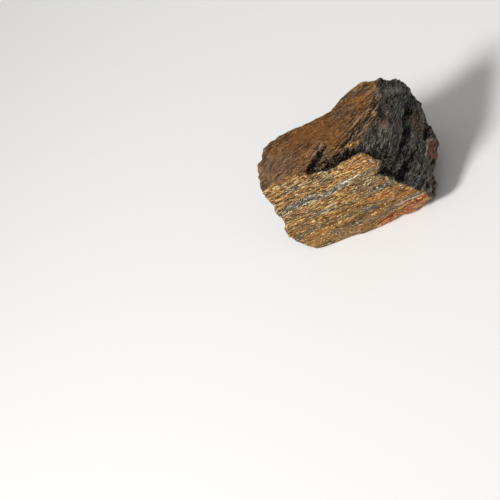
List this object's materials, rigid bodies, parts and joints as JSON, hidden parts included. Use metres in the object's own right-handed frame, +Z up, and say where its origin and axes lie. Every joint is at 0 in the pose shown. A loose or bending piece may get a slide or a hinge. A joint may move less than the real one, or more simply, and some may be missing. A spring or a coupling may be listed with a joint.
{
  "type": "rough bronzite",
  "caption": "Raw hand-sized lump of bronzite with a golden fibrous front, a brown cleaved top and a charcoal fractured end, resting flat.",
  "frame": {"origin": "middle of the bounding box, on the surface that the stone rests on", "axes": "+X along the fibres towards the dark fractured end, +Y from the golden front to the plain back, +Z up out of the flat base"},
  "size_m": [0.0457, 0.0244, 0.0303],
  "materials": {
    "bronzite": "raw broken pyroxene: silky golden fibres on the front, dull brown cleavage on top, rough charcoal fracture at one end"
  },
  "bodies": {
    "root": {"stone": "bronzite"}
  },
  "joints": []
}
